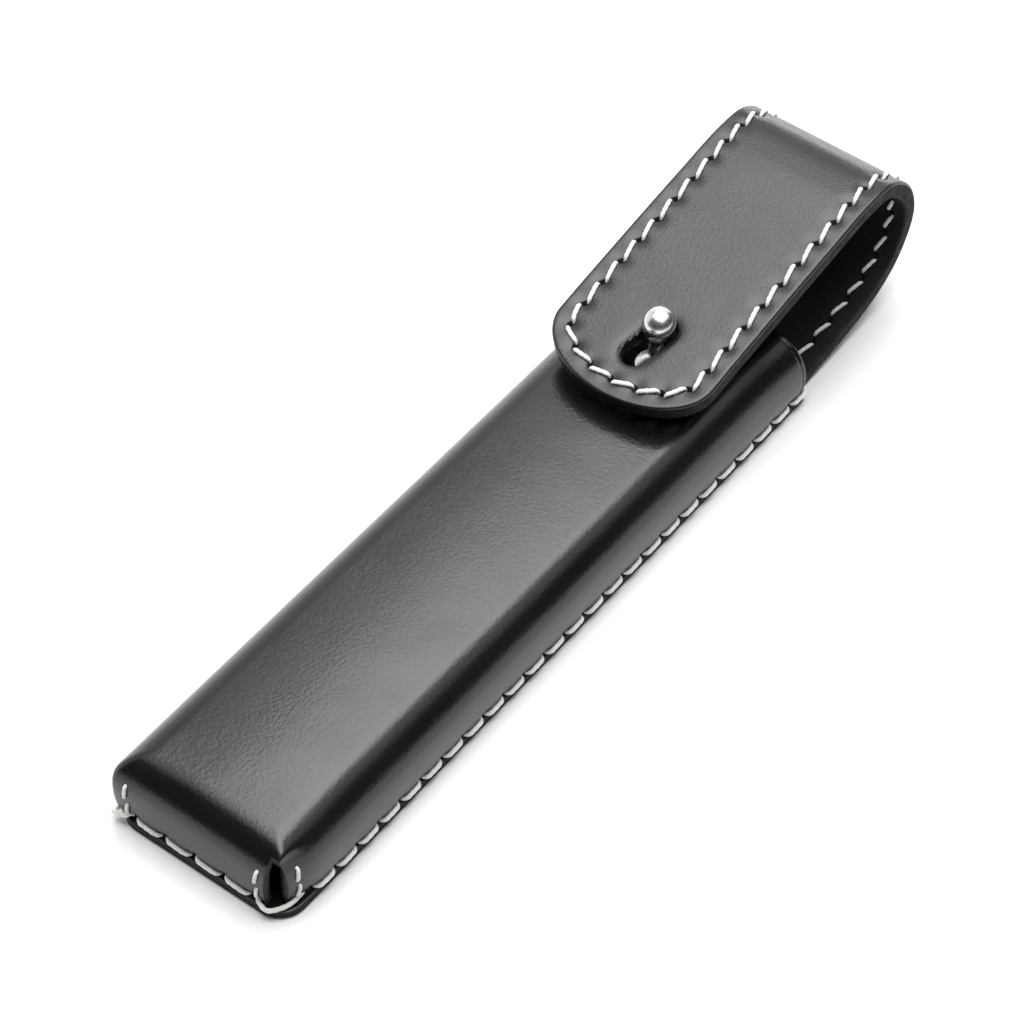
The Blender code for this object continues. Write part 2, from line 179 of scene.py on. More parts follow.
def profile():
    """Distance, place (y, z) and direction at close points of the strap's outer face."""
    given = [np.array((MOUTH + y * MM, z * MM)) for y, z in PROFILE]
    given.insert(0, given[0] - np.array((6 * MM, 0.0)))
    given.append(2 * given[-1] - given[-2])
    place = []
    for i in range(1, len(given) - 2):
        place += [through(*given[i - 1 : i + 3], k / PROFILE_STEPS) for k in range(PROFILE_STEPS)]
    place = np.array(place + [given[-2]])
    steps = np.linalg.norm(np.diff(place, axis=0), axis=1)
    way = np.gradient(place, axis=0)
    way /= np.linalg.norm(way, axis=1)[:, None]
    way[0] = (1.0, 0.0)
    return np.concatenate([[0.0], np.cumsum(steps)]), place, way


ALONG, PLACE, WAY = profile()
TIP = ALONG[-1]
TIP_BASE = TIP - TIP_DEPTH
NOSE = ALONG[NOSE_POINT * PROFILE_STEPS]


def on_strap(s, x, depth):
    """Points in the part's frame for places laid out flat."""
    s, x, depth = np.broadcast_arrays(s, x, depth)
    y = np.where(s < 0, MOUTH + s, np.interp(s, ALONG, PLACE[:, 0]))
    z = np.interp(s, ALONG, PLACE[:, 1])
    way_y, way_z = np.interp(s, ALONG, WAY[:, 0]), np.interp(s, ALONG, WAY[:, 1])
    shift = STRAP_DRIFT * np.clip(s, 0, None) / TIP
    return np.stack([x + shift, y - way_z * depth, z + way_y * depth], axis=-1)


def spread(start, end, step):
    """Evenly spaced values from start to end, about a step apart."""
    return np.linspace(start, end, max(2, round(abs(end - start) / step) + 1))


def rounding(distance, radius):
    """How far a face drops near its rounded edge."""
    inside = np.clip(radius - distance, 0, radius)
    return radius - np.sqrt(radius**2 - inside**2)


def smooth_step(t):
    """From 0 at or below 0 to 1 at or above 1."""
    t = np.clip(t, 0, 1)
    return t * t * (3 - 2 * t)


def bell(distance, width):
    """1 at no distance, and next to nothing from twice the width on."""
    return np.exp(-((distance / width) ** 2))


def at_ends(t):
    """1 at both ends of a stitch and next to nothing along its middle; t runs from 0 to 1."""
    return np.abs(2 * t - 1) ** 7


# ---- meshes ----------------------------------------------------------------------------------


def placed(name, data):
    """An object with this data, in the scene."""
    obj = bpy.data.objects.new(name, data)
    bpy.context.scene.collection.objects.link(obj)
    return obj


def finish_mesh(name, points, faces, slots, mats, sharp=40):
    """An object of these faces; slots gives each face's place in mats."""
    mesh = bpy.data.meshes.new(name)
    mesh.from_pydata(points.tolist(), [], faces)
    for mat in mats:
        mesh.materials.append(mat)
    mesh.polygons.foreach_set("material_index", slots)
    work = bmesh.new()
    work.from_mesh(mesh)
    bmesh.ops.recalc_face_normals(work, faces=work.faces)
    work.to_mesh(mesh)
    work.free()
    mesh.shade_smooth()
    mesh.set_sharp_from_angle(angle=math.radians(sharp))
    return placed(name, mesh)


def ring_cells(rings, steps):
    """The quads between closed rings of points numbered ring by ring."""
    faces = []
    for low in range(0, (rings - 1) * steps, steps):
        faces += [
            [low + j, low + (j + 1) % steps, low + steps + (j + 1) % steps, low + steps + j]
            for j in range(steps)
        ]
    return faces


def grid_cells(rows, columns, start=0):
    """The quads of a grid of points numbered row by row."""
    k = (np.arange(rows - 1)[:, None] * columns + np.arange(columns - 1)).ravel() + start
    return np.stack([k, k + 1, k + columns + 1, k + columns], axis=1)


def skin(name, outer, inner, cells, mats, back=0, edge=1):
    """A closed body between two sets of points, with walls round the open edges of the cells."""
    both = np.round(np.hstack([outer, inner]) / WELD)
    _, first, index = np.unique(both, axis=0, return_index=True, return_inverse=True)
    index = index.reshape(-1)
    outer, inner, count = outer[first], inner[first], len(first)
    faces = []
    for cell in index[cells].tolist():
        loop = [v for k, v in enumerate(cell) if v != cell[k - 1]]
        if len(loop) > 2:
            faces.append(loop)
    used = {pair for loop in faces for pair in zip(loop, loop[1:] + loop[:1])}
    walls = [[b, a, a + count, b + count] for a, b in sorted(used) if (b, a) not in used]
    backs = [[v + count for v in reversed(loop)] for loop in faces]
    slots = [0] * len(faces) + [back] * len(backs) + [edge] * len(walls)
    return finish_mesh(name, np.vstack([outer, inner]), faces + backs + walls, slots, mats)


def tubes(name, lines, outs, mat, radius=THREAD, sides=10):
    """Threads along lines of points, with an outward direction at each, as one mesh."""
    lines, outs = np.asarray(lines), np.asarray(outs)
    count, steps = lines.shape[:2]
    along = np.gradient(lines, axis=1)
    along /= np.linalg.norm(along, axis=2, keepdims=True)
    side = np.cross(along, outs)
    side /= np.linalg.norm(side, axis=2, keepdims=True)
    up = np.cross(side, along)
    length = np.zeros((count, steps))
    length[:, 1:] = np.cumsum(np.linalg.norm(np.diff(lines, axis=1), axis=2), axis=1)
    turn = np.arange(sides) * (2 * math.pi / sides)
    twist = 2 * math.pi / PLY_TWIST * length[:, :, None]
    ply = 1 + PLY_RELIEF * np.cos(PLY_LOBES * (turn - twist))
    taper = 1 - END_TAPER * np.abs(np.linspace(-1, 1, steps)) ** 4
    reach = radius * ply * taper[None, :, None]
    ring = lines[:, :, None] + reach[..., None] * (
        np.cos(turn)[:, None] * side[:, :, None] + np.sin(turn)[:, None] * up[:, :, None]
    )
    faces = []
    size = steps * sides
    for start in range(0, count * size, size):
        faces += [[start + v for v in face] for face in ring_cells(steps, sides)]
        faces.append(list(range(start, start + sides)))
        faces.append(list(range(start + size - sides, start + size)))
    return finish_mesh(name, ring.reshape(-1, 3), faces, [0] * len(faces), [mat], sharp=60)


# ---- materials -------------------------------------------------------------------------------


def nodes_of(name):
    """A new material with its node tree and shader."""
    mat = bpy.data.materials.new(name)
    mat.use_nodes = True
    tree = mat.node_tree
    return mat, tree, tree.nodes["Principled BSDF"]


def noise(tree, scale, detail=4.0, rough=0.55, stretch=(1, 1, 1)):
    """A noise in the piece's own coordinates; scale is in features a metre."""
    place = tree.nodes.new("ShaderNodeTexCoord")
    mapping = tree.nodes.new("ShaderNodeMapping")
    mapping.inputs["Scale"].default_value = stretch
    tree.links.new(place.outputs["Object"], mapping.inputs["Vector"])
    made = tree.nodes.new("ShaderNodeTexNoise")
    made.inputs["Scale"].default_value = scale
    made.inputs["Detail"].default_value = detail
    made.inputs["Roughness"].default_value = rough
    tree.links.new(mapping.outputs["Vector"], made.inputs["Vector"])
    return made.outputs["Fac"]


def ramp(tree, value, low, high, start=0.0, end=1.0):
    """Maps a value from low..high to start..end."""
    made = tree.nodes.new("ShaderNodeMapRange")
    sockets = ("From Min", "From Max", "To Min", "To Max")
    for socket, number in zip(sockets, (low, high, start, end)):
        made.inputs[socket].default_value = number
    tree.links.new(value, made.inputs["Value"])
    return made.outputs["Result"]


def mixed_colour(tree, factor, first, second):
    """A colour between two; either may be given as one number for a grey."""
    first, second = [(c, c, c) if isinstance(c, float) else c for c in (first, second)]
    made = tree.nodes.new("ShaderNodeMix")
    made.data_type = "RGBA"
    made.inputs["A"].default_value = (*first, 1.0)
    made.inputs["B"].default_value = (*second, 1.0)
    tree.links.new(factor, made.inputs["Factor"])
    return made.outputs["Result"]


def bump(tree, heights):
    """Chained bumps from (height, distance) pairs; returns the normal."""
    normal = None
    for height, distance in heights:
        made = tree.nodes.new("ShaderNodeBump")
        made.inputs["Strength"].default_value = 1.0
        made.inputs["Distance"].default_value = distance
        tree.links.new(height, made.inputs["Height"])
        if normal:
            tree.links.new(normal, made.inputs["Normal"])
        normal = made.outputs["Normal"]
    return normal


def connect(tree, shader, colour, rough, heights):
    """Links the shader's colour, roughness and bumps."""
    tree.links.new(colour, shader.inputs["Base Color"])
    tree.links.new(rough, shader.inputs["Roughness"])
    tree.links.new(bump(tree, heights), shader.inputs["Normal"])


def hide_material(name, rough, grain):
    """Smooth glazed leather: fine grain, pores, and a slow unevenness of the glaze."""
    mat, tree, shader = nodes_of(name)
    tone = ramp(tree, noise(tree, 90, 3), 0.35, 0.65)
    colour = mixed_colour(tree, tone, (0.0042, 0.0042, 0.0043), (0.0062, 0.0062, 0.0063))
    glaze = ramp(tree, noise(tree, 60, 4, 0.6), 0.3, 0.7, rough - 0.025, rough + 0.035)
    pores = noise(tree, 3200, 2, 0.55)
    pebble = noise(tree, 1500, 3, 0.6)
    swell = noise(tree, 110, 1, 0.4)
    heights = [(swell, 0.08 * MM), (pebble, grain), (pores, grain * 0.45)]
    connect(tree, shader, colour, glaze, heights)
    shader.inputs["IOR"].default_value = 1.53
    return mat


def edge_material(name, dark, light):
    """A cut and burnished edge: dark, dull and fibrous."""
    mat, tree, shader = nodes_of(name)
    fibres = noise(tree, 2200, 5, 0.7)
    colour = mixed_colour(tree, ramp(tree, fibres, 0.4, 0.75), dark, light)
    rough = ramp(tree, noise(tree, 500, 3), 0.3, 0.7, 0.5, 0.75)
    connect(tree, shader, colour, rough, [(fibres, 0.1 * MM)])
    shader.inputs["Specular IOR Level"].default_value = 0.12
    return mat


def lining_material():
    """The dull suede-like inside."""
    mat, tree, shader = nodes_of("leather_lining")
    nap = noise(tree, 1500, 4, 0.65)
    colour = mixed_colour(tree, ramp(tree, nap, 0.35, 0.7), 0.003, 0.009)
    rough = ramp(tree, noise(tree, 200, 3), 0.3, 0.7, 0.65, 0.85)
    connect(tree, shader, colour, rough, [(nap, 0.05 * MM)])
    shader.inputs["Specular IOR Level"].default_value = 0.25
    return mat


def thread_material():
    """Waxed white thread, a little grey between its plies."""
    mat, tree, shader = nodes_of("thread_white")
    fibres = noise(tree, 3800, 4, 0.6)
    tone = ramp(tree, fibres, 0.3, 0.65)
    colour = mixed_colour(tree, tone, (0.74, 0.73, 0.7), (0.92, 0.915, 0.89))
    rough = ramp(tree, noise(tree, 900, 3), 0.3, 0.7, 0.45, 0.65)
    connect(tree, shader, colour, rough, [(fibres, 0.05 * MM)])
    return mat


def metal_material(name, colour, rough):
    """Polished metal with faint handling marks."""
    mat, tree, shader = nodes_of(name)
    marks = noise(tree, 700, 4, 0.6)
    light = tuple(min(1.0, c * 1.05) for c in colour)
    tone = mixed_colour(tree, ramp(tree, marks, 0.35, 0.65), colour, light)
    haze = ramp(tree, marks, 0.3, 0.8, rough, rough * 1.2)
    connect(tree, shader, tone, haze, [(noise(tree, 900, 2), 0.002 * MM)])
    shader.inputs["Metallic"].default_value = 1.0
    return mat


def floor_material():
    """Plain matt near-white."""
    mat, _, shader = nodes_of("floor")
    shader.inputs["Base Color"].default_value = (0.84, 0.84, 0.84, 1.0)
    shader.inputs["Roughness"].default_value = 0.9
    shader.inputs["Specular IOR Level"].default_value = 0.1
    return mat


# ---- stitch rows -----------------------------------------------------------------------------


def ring_line(inset):
    """The line (s, x) at an inset from the flap's edge, from the left by the tip to the right."""
    sides = spread(-0.5 * STRAP_HALF, TIP_BASE, 0.5 * MM)
    t = np.linspace(math.pi / 2, 0, 90)
    tip_s, tip_x = TIP_DEPTH * np.cos(t), -STRAP_HALF * np.sin(t)
    out_s, out_x = np.cos(t) / TIP_DEPTH, -np.sin(t) / STRAP_HALF
    size = np.hypot(out_s, out_x)
    side = np.full(len(sides) - 1, -STRAP_HALF + inset)
    left_s = np.concatenate([sides[:-1], TIP_BASE + tip_s - inset * out_s / size])
    left_x = np.concatenate([side, tip_x - inset * out_x / size])
    line = np.stack([left_s, left_x], axis=1)
    return np.vstack([line, (line * (1, -1))[-2::-1]])


def row_path():
    """Distance from the tip, place (s, x) and outward direction along the flap's stitch row."""
    line = ring_line(ROW_INSET)
    steps = np.linalg.norm(np.diff(line, axis=0), axis=1)
    length = np.concatenate([[0.0], np.cumsum(steps)])
    way = np.gradient(line, axis=0)
    way /= np.linalg.norm(way, axis=1)[:, None]
    return length - length[-1] / 2, line, np.stack([way[:, 1], -way[:, 0]], axis=1)


ROW_LENGTH, ROW_PLACE, ROW_OUT = row_path()


def row_at(u):
    """Place and outward direction at a distance from the tip; below zero is the left side."""
    place = np.stack([np.interp(u, ROW_LENGTH, ROW_PLACE[:, k]) for k in (0, 1)], axis=-1)
    out = np.stack([np.interp(u, ROW_LENGTH, ROW_OUT[:, k]) for k in (0, 1)], axis=-1)
    return place, out


def row_holes():
    """The holes of the row as distances from the tip, below zero on the left side."""
    right = np.cumsum([pitch for pitch, count in PITCHES for _ in range(count)])
    return np.concatenate([-right[::-1], [0.0], right])


def strap_stitches(low, high, inner):
    """Centre lines and outward directions of the stitches with middles between two places s."""
    holes = row_holes()
    lines, outs = [], []
    t = np.linspace(0, 1, 17)
    for a, b in zip(holes, holes[1:]):
        middle = row_at(np.array([(a + b) / 2]))[0][0, 0]
        if not low <= middle < high:
            continue
        gap = HOLE_HALF + (INNER_GAP if inner else 0.0)
        place, out = row_at(b - gap - (b - a - 2 * gap) * t)
        place = place + out * (SLANT * (2 * t - 1))[:, None]
        s, x = place.T
        rise = np.full(len(t), RISE)
        if not inner:
            room = np.clip(np.interp(s, ALONG, PLACE[:, 1]) - REST_DEPTH, -REST_DEPTH, RISE)
            rise = np.where(s < NEAR_TABLE, room, RISE)
        dive = (rise + DIVE) * at_ends(t) - rise
        depth = STRAP_THICK - dive if inner else dive
        line = on_strap(s, x, depth)
        further = on_strap(s, x, depth + (MM if inner else -MM))
        lines.append(line)
        outs.append((further - line) / MM)
    return lines, outs


def dents(s, x, holes, outs):
    """How deep the leather is drawn in at its needle holes, whose slits lie aslant to the row."""
    depth = np.zeros(s.shape)
    for hole, out in zip(holes, outs):
        near = np.abs(s - hole[0]) < 4 * MM
        ds, dx = s[near] - hole[0], x[near] - hole[1]
        across = ds * out[0] + dx * out[1]
        along = -ds * out[1] + dx * out[0]
        long, short = (across + along) / math.sqrt(2), (across - along) / math.sqrt(2)
        pit = PIT_DEPTH * bell(long, PIT_LONG) * bell(short, PIT_SHORT)
        depth[near] += PULL_DEPTH * bell(np.hypot(ds, dx), PULL_WIDTH) + pit
    return depth


# ---- strap -----------------------------------------------------------------------------------


EDGE_RINGS = EDGE_ROUND * (1 - np.cos(np.linspace(0, math.pi / 2, 6)))
ROW_RINGS = (np.arange(0.9, 2.0, 0.35), np.arange(2.15, 4.3, 0.2), (4.7, 5.3, 6.0))  # millimetres
RINGS = np.concatenate([EDGE_RINGS, np.concatenate(ROW_RINGS) * MM])  # insets of the fine columns
MIDDLE_COLUMNS = 56
STRAP_STEP = 0.3 * MM


def strap_layout(start, half_start, tip):
    """Flat places (s, x) and edge distances on a grid: rows along the strap, columns across."""
    if tip:
        sides = spread(start, TIP_BASE, STRAP_STEP)
        t = np.linspace(math.pi / 2, 0, 73)[1:]
        s = np.concatenate([sides, TIP_BASE + TIP_DEPTH * np.cos(t)])
        x = np.concatenate([np.full(len(sides), -STRAP_HALF), -STRAP_HALF * np.sin(t)])
        way = np.stack([np.cos(t) / TIP_DEPTH, -np.sin(t) / STRAP_HALF], axis=1)
        way /= np.linalg.norm(way, axis=1)[:, None]
        out = np.vstack([np.tile((0.0, -1.0), (len(sides), 1)), way])
    else:
        s = spread(start, NOSE, STRAP_STEP)
        s = np.sort(np.concatenate([s, [-0.02 * MM, 0.02 * MM]])) if start < 0 else s
        x = np.where(s < 0, -half_start, -STRAP_HALF)
        out = np.tile((0.0, -1.0), (len(s), 1))
    ring_s = s[:, None] - out[:, :1] * RINGS
    ring_x = x[:, None] - out[:, 1:] * RINGS
    share = np.linspace(1, -1, MIDDLE_COLUMNS + 2)[1:-1]
    middle_s = np.repeat(ring_s[:, -1:], MIDDLE_COLUMNS, axis=1)
    flat_s = np.hstack([ring_s, middle_s, ring_s[:, ::-1]])
    flat_x = np.hstack([ring_x, ring_x[:, -1:] * share, -ring_x[:, ::-1]])
    distance = np.concatenate([RINGS, np.full(MIDDLE_COLUMNS, RINGS[-1]), RINGS[::-1]])
    return flat_s, flat_x, np.broadcast_to(distance, flat_s.shape)


def keyhole_ends():
    """The middles of the keyhole's two round ends, as (s, x)."""
    tip = np.array((TIP - KEYHOLE_TIP, KEYHOLE_TIP_X))
    way = np.array((-math.cos(KEYHOLE_TURN), math.sin(KEYHOLE_TURN)))
    return tip, tip + KEYHOLE_LENGTH * way


def keyhole_distance(s, x):
    """Distance from the keyhole's edge, positive outside it."""
    a, b = keyhole_ends()
    way = (b - a) / np.linalg.norm(b - a)
    ds, dx = s - a[0], x - a[1]
    t = np.clip(ds * way[0] + dx * way[1], 0, np.linalg.norm(b - a))
    return np.hypot(ds - t * way[0], dx - t * way[1]) - KEYHOLE_HALF


def strap_layer(name, start, half_start, tip, inner, mats):
    """One layer of the strap as a closed body. Its needle holes are on the face that shows."""
    s, x, distance = strap_layout(start, half_start, tip)
    worn = rounding(distance, EDGE_ROUND) + dents(s, x, *row_at(row_holes()))
    if inner:
        shown = STRAP_THICK - worn
    else:
        # Near the mouth the threads lie in a groove, clear of the table.
        groove = 0.5 * MM * bell(distance - ROW_INSET, 0.55 * MM)
        shown = worn + groove * (1 - smooth_step((s - 8 * MM) / (5 * MM)))
        if tip:
            shown += KEYHOLE_LIP * np.exp(-np.clip(keyhole_distance(s, x), 0, None) / KEYHOLE_LIP)
    near, far = [on_strap(s, x, depth).reshape(-1, 3) for depth in (shown, OUTER_THICK)]
    return skin(name, near, far, grid_cells(*s.shape), mats)


def keyhole_cutter(edge):
    """A prism through the flap, square to it, with the keyhole's outline."""
    a, b = keyhole_ends()
    turn = math.atan2(b[1] - a[1], b[0] - a[0])
    outline = []
    for centre, start in ((b, -90), (a, 90)):
        for k in range(25):
            angle = turn + math.radians(start + 180 * k / 24)
            outline.append(centre + KEYHOLE_HALF * np.array((math.cos(angle), math.sin(angle))))
    s, x = np.array(outline).T
    points = [on_strap(s, x, depth) for depth in (-3 * MM, STRAP_THICK + 3 * MM)]
    return prism("keyhole_cutter", np.vstack(points), edge)


def prism(name, points, mat):
    """A body between two rings of points."""
    count = len(points) // 2
    faces = ring_cells(2, count) + [list(range(count)), list(range(count, 2 * count))]
    return finish_mesh(name, points, faces, [0] * len(faces), [mat])


def apply_modifiers(obj):
    """Makes what the modifiers show the piece's own mesh."""
    bpy.context.view_layer.update()
    graph = bpy.context.evaluated_depsgraph_get()
    made = bpy.data.meshes.new_from_object(obj.evaluated_get(graph))
    obj.modifiers.clear()
    obj.data = made


def cut(pieces, cutter):
    """Takes the cutter out of each piece, then removes it."""
    for piece in pieces:
        modifier = piece.modifiers.new("cut", "BOOLEAN")
        modifier.operation = "DIFFERENCE"
        modifier.solver = "EXACT"
        modifier.object = cutter
        apply_modifiers(piece)
    bpy.data.objects.remove(cutter)


def bend(piece):
    """Bakes the piece's placement into its points."""
    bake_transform(piece)


# ---- tray: a panel with sides round three edges ----------------------------------------------


def tray_layout(along, corner_steps, across):
    """Shares along a side (0 at the mouth, 1 at the corner), round a corner and across the end."""
    turn = np.linspace(0, 1, corner_steps + 1)[1:-1]
    return along, turn, across


def tray_ring(layout, half, end, corner):
    """The places (x, y) of one ring: down the left side, round the end and back up the right."""
    along, turn, across = layout
    left = np.stack([np.full(len(along), -half), MOUTH + (end + corner - MOUTH) * along], axis=1)
    angle = math.pi + turn * math.pi / 2
    bend_at = np.array((-half + corner, end + corner))
    round_left = bend_at + corner * np.stack([np.cos(angle), np.sin(angle)], axis=1)
    base = np.stack([(half - corner) * across, np.full(len(across), end)], axis=1)
    mirror = np.array((-1.0, 1.0))
    return np.vstack([left, round_left, base, (round_left * mirror)[::-1], (left * mirror)[::-1]])


def tray_middle(layout, half, end):
    """The grid (x, y) inside the last ring, row by row from the mouth."""
    along, _, across = layout
    y = MOUTH + (end - MOUTH) * along
    return np.stack(np.meshgrid(half * across, y), axis=-1).reshape(-1, 2)


def tray_cells(layout, levels):
    """The quads between the rings, and those of the middle grid."""
    along, turn, across = layout
    ring = 2 * len(along) + 2 * len(turn) + len(across)
    return grid_cells(levels, ring), grid_cells(len(along), len(across), levels * ring)[:, ::-1]


# ---- front shell -----------------------------------------------------------------------------


RIM_STEPS = (0, 0.08, 0.2, 0.4, 0.7, 0.9, 1.0, 1.1, 1.2, 1.3, 1.5, 2.0)  # from the mouth's edge
SHELL_ALONG = np.concatenate([RIM_STEPS, np.linspace(2.5, SIDE_RUN, 284)]) / SIDE_RUN
SHELL_LAYOUT = tray_layout(SHELL_ALONG, 8, np.linspace(-1, 1, 81))


def wall_in(z):
    """How far a wall stands inside its widest place, and its lean from upright."""
    return BULGE * (z - BULGE_Z) ** 2, np.arctan(2 * BULGE * (z - BULGE_Z))


def shell_section():
    """The section from foot to top as (distance in, height, lean from upright)."""
    centre_z = SECTION_TOP - SECTION_RADIUS
    join = centre_z + SECTION_RADIUS * math.sin(WALL_LEAN)
    z = spread(BACK_THICK, join, 0.3 * MM)
    flat, lean = wall_in(z)
    turn = np.linspace(WALL_LEAN, math.pi / 2, 26)[1:]
    centre_in = flat[-1] + SECTION_RADIUS * math.cos(WALL_LEAN)
    flat = np.concatenate([flat, centre_in - SECTION_RADIUS * np.cos(turn)])
    height = np.concatenate([z, centre_z + SECTION_RADIUS * np.sin(turn)])
    return flat, height, np.concatenate([lean, turn])


SECTION = shell_section()


def ring_normals(layout):
    """Outward directions in plan round a ring."""
    along, turn, across = layout
    left = np.tile((-1.0, 0.0), (len(along), 1))
    angle = math.pi + turn * math.pi / 2
    corner = np.stack([np.cos(angle), np.sin(angle)], axis=1)
    base = np.tile((0.0, -1.0), (len(across), 1))
    mirror = np.array((-1.0, 1.0))
    return np.vstack([left, corner, base, (corner * mirror)[::-1], (left * mirror)[::-1]])


def shell_points(inset):
    """The shell's points at an inset from its outer face, which may change along its sides."""
    _, turn, across = SHELL_LAYOUT
    rest = np.full(2 * len(turn) + len(across), inset[-1])
    inwards = np.concatenate([inset, rest, inset[::-1]])
    out = ring_normals(SHELL_LAYOUT)
    points = []
    for flat, z, lean in zip(*SECTION):
        corner = CORNER * math.cos(max(lean, 0.0)) ** 0.7
        plan = tray_ring(SHELL_LAYOUT, SHELL_HALF - flat, SHELL_END + flat, corner)
        plan = plan - out * (inwards * math.cos(lean))[:, None]
        height = z - inwards * math.sin(lean)
        height = height + crown_at(plan[:, 0], plan[:, 1]) * max(math.sin(lean), 0.0) ** 2
        points.append(np.column_stack([plan, height]))
    flat = SECTION[0][-1]
    plan = tray_middle(SHELL_LAYOUT, SHELL_HALF - flat, SHELL_END + flat)
    height = SECTION_TOP - np.repeat(inset, len(across)) + crown_at(plan[:, 0], plan[:, 1])
    points.append(np.column_stack([plan, height]))
    return shaped(np.vstack(points))


def crown_at(x, y):
    """How much higher the front is than at its edges."""
    along = np.clip((y - SHELL_END) / CROWN_RUN, 0, 1)
    return CROWN * (1 - (x / SHELL_HALF) ** 2) * (1 - (1 - along) ** 2)


def mouth_sink(y):
    """How much lower the front is towards the mouth."""
    return MOUTH_SINK * smooth_step((y - MOUTH + SINK_RUN) / SINK_RUN)


def front_height(x, y):
    """Height of the front's outer face."""
    return SECTION_TOP + crown_at(x, y) - mouth_sink(y)


def shaped(points):
    """Handwork: the front sinks at the mouth, the right wall's near end stands in, and the left
    edge leans out a little."""
    x, y, z = points.T
    sink = mouth_sink(y) * smooth_step((z - 3 * MM) / (9 * MM))
    low = smooth_step((17 * MM - z) / (6 * MM))
    near_end = bell(y - SHELL_END - MM, 4.8 * MM)
    right_wall = smooth_step((x - 15.5 * MM) / (2 * MM))
    left_edge = smooth_step((z - 6 * MM) / (6 * MM)) * smooth_step((-x - 8 * MM) / (6 * MM))
    moved = -2.1 * MM * low * near_end * right_wall - 0.4 * MM * left_edge
    return np.column_stack([x + moved, y, z - sink])


def rim_inset():
    """How far the outer face is drawn in near the mouth: a rounded rim and a pressed line."""
    distance = SHELL_ALONG * (MOUTH - SHELL_END)
    crease = CREASE_DEPTH * bell(distance - RIM_CREASE, CREASE_WIDTH)
    return rounding(distance, RIM_ROUND) + crease


def corner_cutter(name, foot, head, mat):
    """A wedge that opens an upright corner. Foot and head are its inner edge's ends (x, y, z)."""
    places = []
    for x, y, z in (foot, head):
        out_x, out_y = math.copysign(22 * MM, x), SHELL_END - 4 * MM
        places += [(x, y, z), (out_x, y, z), (out_x, out_y, z), (x, out_y, z)]
    return prism(name, np.array(places), mat)


def front_shell(mats, edge):
    """The front, its walls and the end wall, open at the two near corners."""
    outer = dented_shell(shell_points(rim_inset()))
    inner = shell_points(np.full(len(SHELL_ALONG), SHELL_THICK))
    cells = np.vstack(tray_cells(SHELL_LAYOUT, len(SECTION[0])))
    piece = skin("front_shell_leather", outer, inner, cells, mats, back=1, edge=2)
    for name, (foot_x, foot_y), (head_x, head_y), top in CORNER_CUTS:
        foot, head = (foot_x, SHELL_END + foot_y, -MM), (head_x, SHELL_END + head_y, top)
        cut([piece], corner_cutter(name, foot, head, edge))
    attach(piece, "case")
    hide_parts("front_shell")


def base_middles():
    """Middles of the seam's stitches: y along each side and x along the end."""
    side = END + BASE_FIRST + BASE_PITCH * np.arange(BASE_STITCHES)
    end = END_FIRST + END_PITCH * np.arange(END_STITCHES)
    return side, end


def dented_shell(points):
    """The shell's outer points drawn in at the foot, where its stitches go through."""
    side, end = base_middles()
    x, y, z = points.T
    depth = np.zeros(len(points))
    by_side, by_end = np.abs(x) > SHELL_HALF - 2.5 * MM, y < SHELL_END + 2.5 * MM
    for hole in np.append(side - BASE_PITCH / 2, side[-1] + BASE_PITCH / 2):
        depth += bell(np.hypot(y - hole, z - DIMPLE_Z), DIMPLE_WIDTH) * by_side * ~by_end
    for hole in np.append(end - END_PITCH / 2, end[-1] + END_PITCH / 2):
        depth += bell(np.hypot(x - hole, z - DIMPLE_Z), DIMPLE_WIDTH) * by_end
    depth = DIMPLE_DEPTH * np.clip(depth, 0, 1.2)
    in_x, in_y = np.where(by_end, 0, np.sign(x) * depth), np.where(by_end, -depth, 0)
    return points - np.column_stack([in_x, in_y, np.zeros(len(z))])


# ---- back panel ------------------------------------------------------------------------------


PANEL_INSETS = (np.arange(0.8, 3.2, 0.2), (3.6, 4.2, 5.0))  # millimetres
PANEL_RINGS = np.concatenate([EDGE_RINGS, np.concatenate(PANEL_INSETS) * MM])


def back_panel(mats):
    """The back's leather, with a groove underneath for the seam's threads."""
    along = np.append(np.linspace(0, 139.9, 281) / 140, 1.0)
    layout = tray_layout(along, 12, np.linspace(-1, 1, 35))
    low, high = [], []
    for inset in PANEL_RINGS:
        plan = tray_ring(layout, BACK_HALF - inset, END + inset, BACK_CORNER - inset)
        groove = 0.62 * MM * bell(inset - PANEL_ROW, 0.5 * MM)
        drop = float(rounding(inset, EDGE_ROUND))
        low.append(np.column_stack([plan, np.full(len(plan), groove + drop)]))
        high.append(np.column_stack([plan, np.full(len(plan), BACK_THICK - 0.6 * drop)]))
    middle = tray_middle(layout, BACK_HALF - BACK_CORNER, END + BACK_CORNER)
    low.append(np.column_stack([middle, np.zeros(len(middle))]))
    high.append(np.column_stack([middle, np.full(len(middle), BACK_THICK)]))
    cells = np.vstack(tray_cells(layout, len(PANEL_RINGS)))
    piece = skin("back_panel_leather", np.vstack(high), np.vstack(low), cells, mats)
    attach(piece, "case")
    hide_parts("back_panel")


# ---- base and corner stitches ----------------------------------------------------------------


def wall_place(kind, along, z, proud):
    """A point beside a wall: kind is left, right or end."""
    flat = wall_in(z)[0] - proud
    if kind == "end":
        return shaped(np.stack([along, SHELL_END + flat, z], axis=-1))
    x = (SHELL_HALF - flat) * (1 if kind == "right" else -1)
    return shaped(np.stack([x, along, z], axis=-1))


